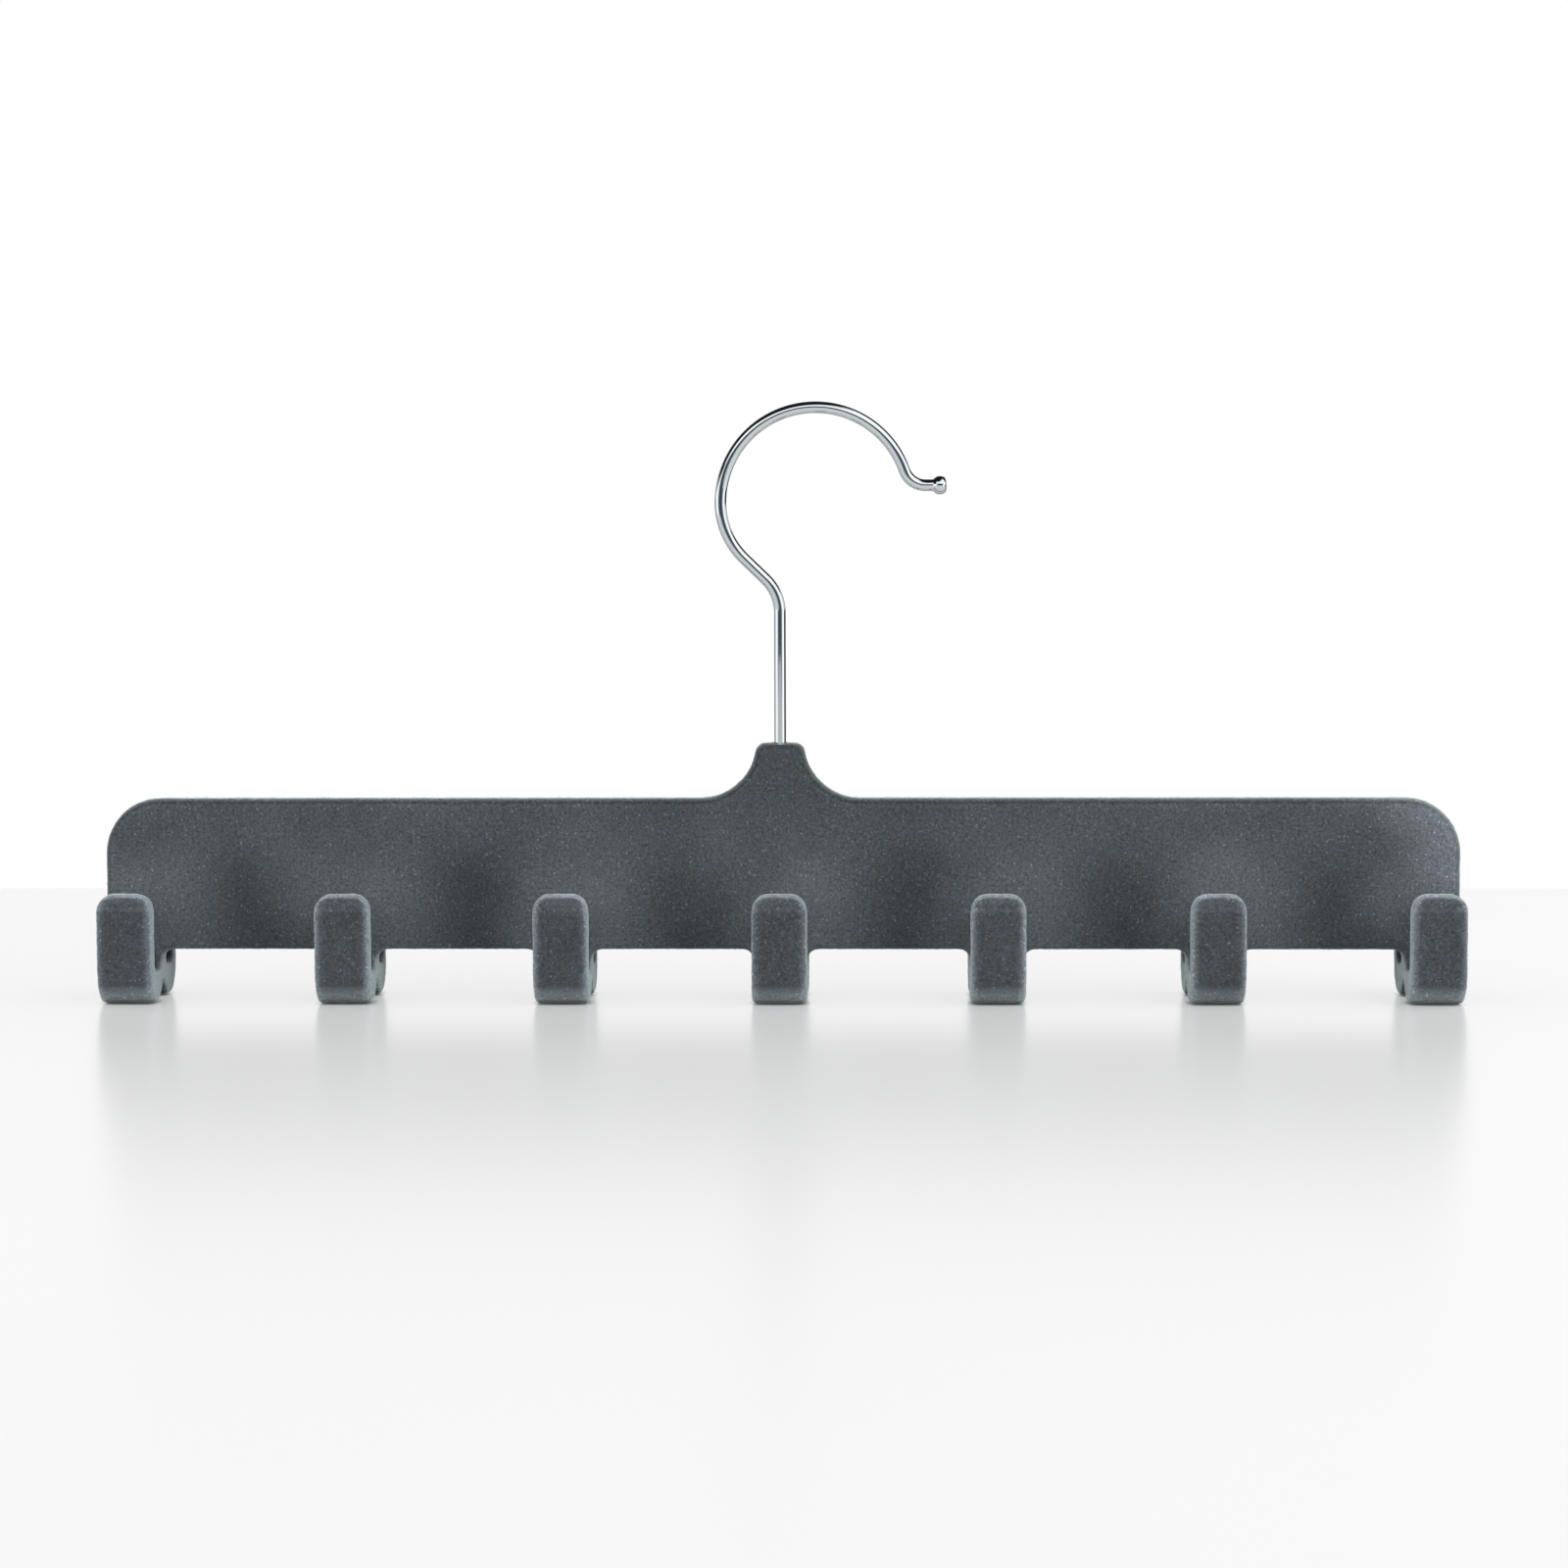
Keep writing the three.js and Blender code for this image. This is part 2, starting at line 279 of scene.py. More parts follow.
def moulding_form():
    """Bar and all the hooks in one mesh, still as overlapping forms."""
    bm = bar_form()
    hook = hook_form()
    hook_mesh = bpy.data.meshes.new("hook_form")
    for i in range(HOOK_COUNT):
        shift = hook_x(i) if i == 0 else HOOK_PITCH
        bmesh.ops.translate(hook, verts=hook.verts, vec=(shift, 0, 0))
        hook.to_mesh(hook_mesh)
        bm.from_mesh(hook_mesh)
    hook.free()
    bpy.data.meshes.remove(hook_mesh)
    bmesh.ops.recalc_face_normals(bm, faces=bm.faces)
    return bm


# Flock

def in_bore(point, margin=0.1):
    """Whether a point is on the wall or the floor of the wire's bore, or within a margin of it."""
    return point.z > BORE_FLOOR - BORE_FLOOR_MARGIN and math.hypot(point.x, point.y) < BORE_RADIUS + margin


def wire_drill():
    """The bore that the wire turns in, which is cut wider because the pile narrows it again."""
    bm = bmesh.new()
    middle = Matrix.Translation((0, 0, BORE_FLOOR + DRILL_LENGTH / 2))
    bmesh.ops.create_cone(bm, cap_ends=True, segments=WIRE_SIDES, radius1=BORE_RADIUS, radius2=BORE_RADIUS,
                          depth=DRILL_LENGTH, matrix=middle)
    mesh = bpy.data.meshes.new("wire_drill")
    bm.to_mesh(mesh)
    bm.free()
    drill = bpy.data.objects.new("wire_drill", mesh)
    bpy.context.collection.objects.link(drill)
    return drill


def voxel_skin():
    """One unbroken skin over the forms of the moulding, with the wire's bore cut into it."""
    bm = moulding_form()
    mesh = bpy.data.meshes.new("moulding_form")
    bm.to_mesh(mesh)
    bm.free()
    draft = bpy.data.objects.new("moulding_form", mesh)
    bpy.context.collection.objects.link(draft)
    remesh = draft.modifiers.new("skin", 'REMESH')
    remesh.mode = 'VOXEL'
    remesh.voxel_size = SKIN_VOXEL
    drill = wire_drill()
    bore = draft.modifiers.new("bore", 'BOOLEAN')
    bore.operation = 'DIFFERENCE'
    bore.solver = 'MANIFOLD'
    bore.object = drill
    skin = bpy.data.meshes.new_from_object(draft.evaluated_get(bpy.context.evaluated_depsgraph_get()))
    for used in (draft, drill):
        form = used.data
        bpy.data.objects.remove(used)
        bpy.data.meshes.remove(form)
    bm = bmesh.new()
    bm.from_mesh(skin)
    settle_order(bm)
    # read back, so that the steps that follow meet everything in its settled order
    bm.to_mesh(skin)
    bm.clear()
    bm.from_mesh(skin)
    bpy.data.meshes.remove(skin)
    return bm


def round_leg_tops(bm):
    """Draws the top corners of each leg in to a round, as seen from the front."""
    flat = HOOK_WIDTH / 2 - HOOK_INSET - LEG_TOP_CORNER
    level = LEG_HEIGHT - PILE_DEPTH - LEG_TOP_CORNER
    for vert in bm.verts:
        if vert.co.z < level or abs(vert.co.y) < LEG_ZONE:
            continue
        nearest = min((hook_x(i) for i in range(HOOK_COUNT)), key=lambda x: abs(vert.co.x - x))
        across = vert.co.x - nearest
        out = abs(across) - flat
        up = vert.co.z - level
        reach = math.hypot(out, up)
        if out > 0 and reach > LEG_TOP_CORNER:
            vert.co.x = nearest + math.copysign(flat + out * LEG_TOP_CORNER / reach, across)
            vert.co.z = level + up * LEG_TOP_CORNER / reach


def mark_edges(bm):
    """Stores how sharply the skin turns outwards, which the material uses for painted highlights along the
    edges.
    """
    bm.normal_update()
    edge = bm.verts.layers.float.new("edge_highlight")
    turn = {}
    for vert in bm.verts:
        around = [e.other_vert(vert).co for e in vert.link_edges]
        middle = sum(around, Vector()) / len(around)
        turn[vert] = max(0.0, (vert.co - middle).dot(vert.normal)) / EDGE_TURN
    for vert in bm.verts:
        near = [turn[e.other_vert(vert)] for e in vert.link_edges]
        vert[edge] = 0.0 if in_bore(vert.co) else min(1.0, 0.5 * turn[vert] + 0.5 * sum(near) / len(near))


def flock_skin():
    """The skin, softened as the pile softens every edge, and standing out by the uneven depth of the pile."""
    bm = voxel_skin()
    round_leg_tops(bm)
    outer = [vert for vert in bm.verts if not in_bore(vert.co)]
    for _ in range(SKIN_SMOOTHINGS):
        bmesh.ops.smooth_vert(bm, verts=outer, factor=0.5, use_axis_x=True, use_axis_y=True, use_axis_z=True)
    mark_edges(bm)
    for vert in bm.verts:
        lump = noise.noise(vert.co * FINE_LUMPS) + BROAD_SHARE * noise.noise(vert.co * BROAD_LUMPS)
        vert.co += vert.normal * (PILE_DEPTH + PILE_UNEVENNESS * lump)
    for vert in bm.verts:
        vert.co.z = max(vert.co.z, 0.0)
    return bm


def stray_fibres(skin):
    """Fibres that lie loose on the skin, at seeded places spread evenly over it, as thin spikes."""
    chance = random.Random(FIBRE_SEED)
    faces = skin.data.polygons
    reach = list(itertools.accumulate(face.area for face in faces))
    fibres = bmesh.new()
    batch_mesh = bpy.data.meshes.new("fibre_batch")
    for _ in range(FIBRE_BATCHES):
        batch = bmesh.new()
        for _ in range(FIBRES_PER_BATCH):
            face = faces[bisect.bisect(reach, chance.random() * reach[-1])]
            root = face.center / MM
            if root.z < FIBRE_LOWEST or in_bore(root, margin=FIBRE_BORE_MARGIN):
                continue
            lean = Vector((chance.gauss(0, 1), chance.gauss(0, 1), chance.gauss(0, 1)))
            lean -= lean.dot(face.normal) * face.normal
            along = lean.normalized() + face.normal * chance.uniform(*FIBRE_LIFT)
            length = chance.uniform(*FIBRE_LENGTH)
            turn = along.to_track_quat('Z', 'X').to_matrix().to_4x4()
            place = Matrix.Translation(root + along.normalized() * length * FIBRE_MIDDLE) @ turn
            bmesh.ops.create_cone(batch, segments=3, radius1=FIBRE_RADIUS, radius2=FIBRE_TIP_RADIUS,
                                  depth=length, cap_ends=True, cap_tris=True, matrix=place)
        batch.to_mesh(batch_mesh)
        batch.free()
        fibres.from_mesh(batch_mesh)
    bpy.data.meshes.remove(batch_mesh)
    return fibres


# Wire hook

def wire_form():
    """A ring of the wire's section, drawn out straight and spun round each bend to the tip."""
    bm = bmesh.new()
    ring = bmesh.ops.create_circle(bm, segments=WIRE_SIDES, radius=WIRE_RADIUS, cap_ends=True)["verts"]
    bmesh.ops.translate(bm, verts=ring, vec=(0, 0, WIRE_FOOT))
    state = {"at": Vector((0, 0, WIRE_FOOT)), "heading": 90.0, "ring": bm.edges[:]}

    def direction(angle):
        return Vector((math.cos(math.radians(angle)), 0, math.sin(math.radians(angle))))

    def straight(length, steps=1):
        for _ in range(steps):
            grown = bmesh.ops.extrude_edge_only(bm, edges=state["ring"])["geom"]
            verts = [g for g in grown if isinstance(g, bmesh.types.BMVert)]
            bmesh.ops.translate(bm, verts=verts, vec=direction(state["heading"]) * length / steps)
            state["ring"] = [g for g in grown if isinstance(g, bmesh.types.BMEdge)
                             and all(v in verts for v in g.verts)]
        state["at"] += direction(state["heading"]) * length

    def bend(radius, turn, steps):
        side = math.copysign(90, turn)
        centre = state["at"] + direction(state["heading"] + side) * radius
        last = bmesh.ops.spin(bm, geom=state["ring"], cent=centre, axis=(0, -1, 0), angle=math.radians(turn),
                              steps=steps, use_merge=False, use_duplicate=False)["geom_last"]
        state["ring"] = [g for g in last if isinstance(g, bmesh.types.BMEdge)]
        state["heading"] += turn
        state["at"] = centre - direction(state["heading"] + side) * radius

    straight(SHANK_TOP - WIRE_FOOT, steps=8)
    bend(SIDESTEP_LOWER_RADIUS, SIDESTEP_TURN, steps=12)
    straight(SIDESTEP_LENGTH, steps=2)
    bend(SIDESTEP_UPPER_RADIUS, -SIDESTEP_TURN, steps=12)
    bend(LOOP_RADIUS, LOOP_SHORTFALL - 180, steps=48)
    bend(LIP_RADIUS, 90 - LOOP_SHORTFALL, steps=14)
    straight(LIP_LENGTH - TIP_LENGTH)
    # the upset tip: the ring steps out along the wire and swells, then closes in a dome
    along = direction(state["heading"])
    tip = state["at"].copy()
    radius = WIRE_RADIUS
    for share, swell in TIP_PROFILE:
        straight(share * TIP_LENGTH - (state["at"] - tip).dot(along))
        verts = list(dict.fromkeys(v for e in state["ring"] for v in e.verts))
        bmesh.ops.scale(bm, vec=(swell / radius,) * 3, verts=verts, space=Matrix.Translation(-state["at"]))
        radius = swell
    bmesh.ops.contextual_create(bm, geom=state["ring"])
    bmesh.ops.recalc_face_normals(bm, faces=bm.faces)
    settle_order(bm)
    return bm


# Materials

def pile_specks(tree, place):
    """Tufts of pile, drawn coarser than fibres so that they show, and a painted glint on a fibre end here and
    there.
    """
    tufts = add(tree, 'ShaderNodeTexNoise', {
        "Vector": place, "Scale": 1 / TUFT_SIZE, "Detail": 3.0, "Roughness": 0.8})
    tuft_shade = add(tree, 'ShaderNodeMapRange', {
        "Value": tufts.outputs["Fac"], "From Min": 0.3, "From Max": 0.72, "To Min": 0.5, "To Max": 1.6})
    ends = add(tree, 'ShaderNodeTexVoronoi', {"Vector": place, "Scale": 1 / FIBRE_END_SPACING})
    end_near = add(tree, 'ShaderNodeMapRange', {
        "Value": ends.outputs["Distance"], "From Min": 0.12, "From Max": 0.30, "To Min": 1.0, "To Max": 0.0})
    end_pick = add(tree, 'ShaderNodeSeparateXYZ', {"Vector": ends.outputs["Color"]})
    # painted glints: a few fibre ends, picked at random, are made much paler
    painted_glint = add(tree, 'ShaderNodeMapRange', {
        "Value": end_pick.outputs["X"], "From Min": 0.55, "From Max": 1.0, "To Min": 0.0, "To Max": 1.6})
    specks = add(tree, 'ShaderNodeMath', {
        0: end_near.outputs[0], 1: painted_glint.outputs[0], 2: tuft_shade.outputs[0]}, operation='MULTIPLY_ADD')
    return tufts.outputs["Fac"], specks.outputs[0]


def bar_tone_and_glare(tree, drifted):
    """Bar: paler round the hooks' tops, darker between them low down, paler at the bottom; a painted
    highlight at the +X top corner.
    """
    phase = add(tree, 'ShaderNodeMath', {0: drifted.outputs["X"], 1: -0.0105}, operation='ADD')
    turns = add(tree, 'ShaderNodeMath', {0: phase.outputs[0], 1: HOOK_WAVE}, operation='MULTIPLY')
    wave = add(tree, 'ShaderNodeMath', {0: turns.outputs[0]}, operation='COSINE')
    rise = {"Value": drifted.outputs["Z"], "From Min": 0.033, "From Max": 0.054}
    depth = add(tree, 'ShaderNodeMapRange', {**rise, "To Min": 0.50, "To Max": 0.02},
                interpolation_type='SMOOTHSTEP')
    ground = add(tree, 'ShaderNodeMapRange', {**rise, "To Min": 1.13, "To Max": 1.0},
                 interpolation_type='SMOOTHSTEP')
    shade = add(tree, 'ShaderNodeMath', {0: wave.outputs[0], 1: depth.outputs[0], 2: ground.outputs[0]},
                operation='MULTIPLY_ADD')
    # painted highlight: the upper corner at the +X end is painted paler, as glare from the lamp on that side
    cornered = add(tree, 'ShaderNodeMath', {0: drifted.outputs["Z"], 1: 1.5, 2: drifted.outputs["X"]},
                   operation='MULTIPLY_ADD')
    painted_corner_glare = add(tree, 'ShaderNodeMapRange', {
        "Value": cornered.outputs[0], "From Min": 0.228, "From Max": 0.256, "To Min": 1.0, "To Max": 1.9,
    }, interpolation_type='SMOOTHSTEP')
    shade = add(tree, 'ShaderNodeMath', {0: shade.outputs[0], 1: painted_corner_glare.outputs[0]}, operation='MULTIPLY')
    return shade.outputs[0]


def leg_painted_light(tree, exact, tufts, on_leg):
    """On the legs: painted shade in the middle of the face, painted light towards its sides, on the cap and
    on the foot.
    """
    turns = add(tree, 'ShaderNodeMath', {0: exact.outputs["X"], 1: HOOK_WAVE}, operation='MULTIPLY')
    wave = add(tree, 'ShaderNodeMath', {0: turns.outputs[0]}, operation='COSINE')
    # painted shade in the middle of each leg's face, painted light towards its sides
    sides = add(tree, 'ShaderNodeMapRange', {
        "Value": wave.outputs[0], "From Min": 0.90, "From Max": 0.73, "To Min": 0.82, "To Max": 1.08,
    }, interpolation_type='SMOOTHSTEP')
    # painted light on the cap
    cap = add(tree, 'ShaderNodeMapRange', {
        "Value": exact.outputs["Z"], "From Min": 0.021, "From Max": 0.026, "To Min": 1.0, "To Max": 1.07,
    }, interpolation_type='SMOOTHSTEP')
    # painted light on the foot's lower curve, as from the table below
    foot_line = add(tree, 'ShaderNodeMath', {0: tufts, 1: 0.0030, 2: exact.outputs["Z"]},
                    operation='MULTIPLY_ADD')
    foot = add(tree, 'ShaderNodeMapRange', {
        "Value": foot_line.outputs[0], "From Min": 0.0082, "From Max": 0.0042, "To Min": 0.0, "To Max": 2.5})
    foot = add(tree, 'ShaderNodeMath', {0: foot.outputs[0], 1: on_leg}, operation='MULTIPLY')
    shade = add(tree, 'ShaderNodeMath', {0: sides.outputs[0], 1: cap.outputs[0]}, operation='MULTIPLY')
    shade = add(tree, 'ShaderNodeMath', {0: shade.outputs[0], 1: foot.outputs[0]}, operation='MAXIMUM')
    # a faint pale band runs across each leg just below its cap
    pale_band = add(tree, 'ShaderNodeMath', {0: exact.outputs["Z"], 1: 0.0249, 2: 0.0005}, operation='COMPARE')
    pale_band_shade = add(tree, 'ShaderNodeMath', {0: pale_band.outputs[0], 1: 0.22, 2: 1.0}, operation='MULTIPLY_ADD')
    shade = add(tree, 'ShaderNodeMath', {0: shade.outputs[0], 1: pale_band_shade.outputs[0]}, operation='MULTIPLY')
    return shade.outputs[0]


def painted_side_light(tree, exact, turned, on_leg):
    """Where and how far the hooks' sides and legs' tops are painted pale as side light and sheen, paler at
    the front. The bar's ends get a little painted shade.
    """
    upwards = add(tree, 'ShaderNodeMath', {0: turned.outputs["Z"], 1: 0.0}, operation='MAXIMUM')
    upwards = add(tree, 'ShaderNodeMath', {0: upwards.outputs[0], 1: on_leg}, operation='MULTIPLY')
    sideways = add(tree, 'ShaderNodeCombineXYZ', {"X": turned.outputs["X"], "Z": upwards.outputs[0]})
    sideways = add(tree, 'ShaderNodeVectorMath', {0: sideways.outputs[0]}, operation='LENGTH')
    share = add(tree, 'ShaderNodeMapRange', {
        "Value": sideways.outputs["Value"], "From Min": 0.62, "From Max": 0.92,
    }, interpolation_type='SMOOTHSTEP')
    # painted side light: paler at the front of a hook, less towards the back
    hook_side = add(tree, 'ShaderNodeMapRange', {
        "Value": exact.outputs["Y"], "From Min": -0.010, "From Max": 0.016, "To Min": 3.3, "To Max": 1.3})
    root = add(tree, 'ShaderNodeMapRange', {
        "Value": exact.outputs["Z"], "From Min": 0.019, "From Max": 0.007,
    }, interpolation_type='SMOOTHSTEP')
    root = add(tree, 'ShaderNodeMath', {0: root.outputs[0], 1: on_leg}, operation='MAXIMUM')
    level = add(tree, 'ShaderNodeMix', {"Factor": root.outputs[0], "A": 0.9, "B": hook_side.outputs[0]})
    return share.outputs[0], level.outputs[0]


def dark_places(tree, exact, drifted, turned):
    """Painted shade in the channels and the notch, a painted contact shadow along the feet's bottoms, and
    darker over the neck and the bar's top near it.
    """
    # painted shade on the faces that look into the channels and the notch
    inwards = add(tree, 'ShaderNodeMath', {0: turned.outputs["Y"], 1: exact.outputs["Y"]},
                  operation='MULTIPLY')
    painted_channel_shade = add(tree, 'ShaderNodeMapRange', {
        "Value": inwards.outputs[0], "From Min": -0.001, "From Max": -0.004, "To Min": 1.0, "To Max": 0.42})
    # painted contact shadow where the feet meet the table
    painted_contact_shadow = add(tree, 'ShaderNodeMapRange', {
        "Value": exact.outputs["Z"], "From Min": 0.0014, "From Max": 0.0007, "To Min": 1.0, "To Max": 0.12})
    # darker over the neck and the middle of the bar's top
    along = add(tree, 'ShaderNodeMath', {0: exact.outputs["X"]}, operation='ABSOLUTE')
    middle = add(tree, 'ShaderNodeMapRange', {
        "Value": along.outputs[0], "From Min": 0.025, "From Max": 0.075, "To Min": -0.2, "To Max": 0.0,
    }, interpolation_type='SMOOTHSTEP')
    upper = add(tree, 'ShaderNodeMapRange', {
        "Value": drifted.outputs["Z"], "From Min": 0.049, "From Max": 0.062,
    }, interpolation_type='SMOOTHSTEP')
    neck = add(tree, 'ShaderNodeMath', {0: middle.outputs[0], 1: upper.outputs[0], 2: 1.0},
               operation='MULTIPLY_ADD')
    return painted_channel_shade.outputs[0], painted_contact_shadow.outputs[0], neck.outputs[0]


def rim_line(tree, exact, turned, on_hook):
    """Painted shade: a dark line along the bar's top, which ends where its face turns into its rim."""
    flatness = add(tree, 'ShaderNodeMath', {0: turned.outputs["Y"]}, operation='ABSOLUTE')
    begun = add(tree, 'ShaderNodeMapRange', {
        "Value": flatness.outputs[0], "From Min": 0.985, "From Max": 0.93,
    }, interpolation_type='SMOOTHSTEP')
    ended = add(tree, 'ShaderNodeMapRange', {
        "Value": flatness.outputs[0], "From Min": 0.60, "From Max": 0.80, "To Min": 0.0, "To Max": -0.36,
    }, interpolation_type='SMOOTHSTEP')
    above_roots = add(tree, 'ShaderNodeMapRange', {
        "Value": exact.outputs["Z"], "From Min": 0.015, "From Max": 0.024})
    line = add(tree, 'ShaderNodeMath', {0: begun.outputs[0], 1: above_roots.outputs[0]}, operation='MULTIPLY')
    line = add(tree, 'ShaderNodeMath', {0: line.outputs[0], 1: ended.outputs[0], 2: 1.0},
               operation='MULTIPLY_ADD')
    line = add(tree, 'ShaderNodeMix', {"Factor": on_hook, "A": line.outputs[0], "B": 1.0})
    return line.outputs[0]


def painted_edge_highlights(tree, exact, on_hook):
    """Painted highlights along every outward edge, least on the bar."""
    # painted highlights along outward edges, from the stored edge sharpness
    edge_highlight = add(tree, 'ShaderNodeAttribute', attribute_name="edge_highlight")
    edge_highlight_curve = add(tree, 'ShaderNodeMath', {0: edge_highlight.outputs["Fac"], 1: 1.6}, operation='POWER')
    hook_share = add(tree, 'ShaderNodeMapRange', {
        "Value": exact.outputs["Y"], "From Min": 0.008, "From Max": 0.016, "To Min": 1.5, "To Max": 0.8})
    share = add(tree, 'ShaderNodeMix', {"Factor": on_hook, "A": 0.5, "B": hook_share.outputs[0]})
    shade = add(tree, 'ShaderNodeMath', {0: edge_highlight_curve.outputs[0], 1: share.outputs[0], 2: 1.0},
                operation='MULTIPLY_ADD')
    return shade.outputs[0]


def nylon_flock():
    """Short nylon flock on moulded ABS: matt and dark face on, pale at grazing edges by its sheen and painted
    highlights, with painted glints and shade.
    """
    material, tree = blank_material("nylon_flock")
    place = add(tree, 'ShaderNodeTexCoord').outputs["Object"]
    exact = add(tree, 'ShaderNodeSeparateXYZ', {"Vector": place})
    normal = add(tree, 'ShaderNodeNewGeometry').outputs["Normal"]
    turned = add(tree, 'ShaderNodeSeparateXYZ', {"Vector": normal})
    tufts, specks = pile_specks(tree, place)
    # nap lying different ways in patches of a few centimetres, which also bend the lines of the tone and
    # painted shade below
    nap = add(tree, 'ShaderNodeTexNoise', {
        "Vector": place, "Scale": 1 / NAP_PATCH, "Detail": 2.0, "Roughness": 0.55})
    nap_shade = add(tree, 'ShaderNodeMapRange', {
        "Value": nap.outputs["Fac"], "From Min": 0.3, "From Max": 0.7, "To Min": 0.88, "To Max": 1.12})
    drift = add(tree, 'ShaderNodeVectorMath', {
        0: nap.outputs["Color"], 1: (NAP_DRIFT, 0.0, NAP_DRIFT), 2: place}, operation='MULTIPLY_ADD')
    drifted = add(tree, 'ShaderNodeSeparateXYZ', {"Vector": drift.outputs[0]})
    # a leg is all that stands off the bar, and a hook is its legs and all that is below the bar
    out = add(tree, 'ShaderNodeMath', {0: exact.outputs["Y"]}, operation='ABSOLUTE')
    on_leg = add(tree, 'ShaderNodeMapRange', {
        "Value": out.outputs[0], "From Min": 0.008, "From Max": 0.011}).outputs[0]
    below_bar = add(tree, 'ShaderNodeMapRange', {
        "Value": exact.outputs["Z"], "From Min": BAR_BOTTOM * MM, "From Max": (BAR_BOTTOM - HOOK_BLEND) * MM})
    on_hook = add(tree, 'ShaderNodeMath', {
        0: on_leg, 1: below_bar.outputs[0]}, operation='MAXIMUM').outputs[0]
    # how pale or dark it is: the bar's tone and painted highlight, the legs' painted light and shade
    tone_and_painted_light = add(tree, 'ShaderNodeMix', {
        "Factor": on_hook, "A": bar_tone_and_glare(tree, drifted), "B": leg_painted_light(tree, exact, tufts, on_leg)})
    side_share, side_level = painted_side_light(tree, exact, turned, on_leg)
    tone_and_painted_light = add(tree, 'ShaderNodeMix', {"Factor": side_share, "A": tone_and_painted_light.outputs[0], "B": side_level})
    shades = (
        *dark_places(tree, exact, drifted, turned),
        rim_line(tree, exact, turned, on_hook),
        painted_edge_highlights(tree, exact, on_hook),
    )
    for shade in shades:
        tone_and_painted_light = add(tree, 'ShaderNodeMath', {0: tone_and_painted_light.outputs[0], 1: shade}, operation='MULTIPLY')
    # a cap on how pale the painted light may make it
    tone_and_painted_light = add(tree, 'ShaderNodeMath', {0: tone_and_painted_light.outputs[0], 1: PALEST_PAINTED_LIGHT}, operation='MINIMUM')
    shade = add(tree, 'ShaderNodeMath', {0: specks, 1: nap_shade.outputs[0]}, operation='MULTIPLY')
    shade = add(tree, 'ShaderNodeMath', {0: shade.outputs[0], 1: tone_and_painted_light.outputs[0]}, operation='MULTIPLY')
    colour = add(tree, 'ShaderNodeVectorMath', {0: srgb("#494e52")[:3], "Scale": shade.outputs[0]},
                 operation='SCALE')
    bump = add(tree, 'ShaderNodeBump', {"Height": tufts, "Strength": 0.5, "Distance": 0.0003})
    shader = add(tree, 'ShaderNodeBsdfPrincipled', {
        "Base Color": colour.outputs[0], "Roughness": 0.95, "IOR": 1.45, "Specular IOR Level": 0.15,
        "Sheen Weight": 1.0, "Sheen Roughness": 0.34, "Sheen Tint": srgb("#e0f1ed"),
        "Normal": bump.outputs[0]})
    add(tree, 'ShaderNodeOutputMaterial', {"Surface": shader.outputs[0]})
    return material


def loose_fibre():
    """Single nylon fibres that stand clear of the pile, coloured paler than it as a painted highlight, some
    paler than others.
    """
    material, tree = blank_material("loose_nylon_fibre")
    place = add(tree, 'ShaderNodeTexCoord').outputs["Object"]
    spread = add(tree, 'ShaderNodeTexNoise', {"Vector": place, "Scale": 1 / FIBRE_SHADE_PATCH, "Detail": 1.0})
    shade = add(tree, 'ShaderNodeMapRange', {
        "Value": spread.outputs["Fac"], "From Min": 0.3, "From Max": 0.7, "To Min": 0.5, "To Max": 1.5})
    # painted highlight: the loose fibres are coloured paler than the pile
    colour = add(tree, 'ShaderNodeVectorMath', {0: srgb("#8d969b")[:3], "Scale": shade.outputs[0]},
                 operation='SCALE')
    shader = add(tree, 'ShaderNodeBsdfPrincipled', {
        "Base Color": colour.outputs[0], "Roughness": 0.6, "IOR": 1.5, "Specular IOR Level": 0.4})
    add(tree, 'ShaderNodeOutputMaterial', {"Surface": shader.outputs[0]})
    return material


def chromed_wire():
    """Drawn steel wire, bent and then bright chromed: a clear mirror with faint draw marks and dark edges."""
    material, tree = blank_material("chromed_steel_wire")
    place = add(tree, 'ShaderNodeTexCoord').outputs["Object"]
    marks = add(tree, 'ShaderNodeTexNoise', {"Vector": place, "Scale": 1 / DRAW_MARK_SIZE, "Detail": 2.0})
    rough = add(tree, 'ShaderNodeMapRange', {
        "Value": marks.outputs["Fac"], "From Min": 0.3, "From Max": 0.7, "To Min": 0.03, "To Max": 0.05})
    shader = add(tree, 'ShaderNodeBsdfPrincipled', {
        "Base Color": srgb("#c9ced1"), "Metallic": 1.0, "Roughness": rough.outputs[0],
        "Specular Tint": srgb("#565c60")})
    add(tree, 'ShaderNodeOutputMaterial', {"Surface": shader.outputs[0]})
    return material


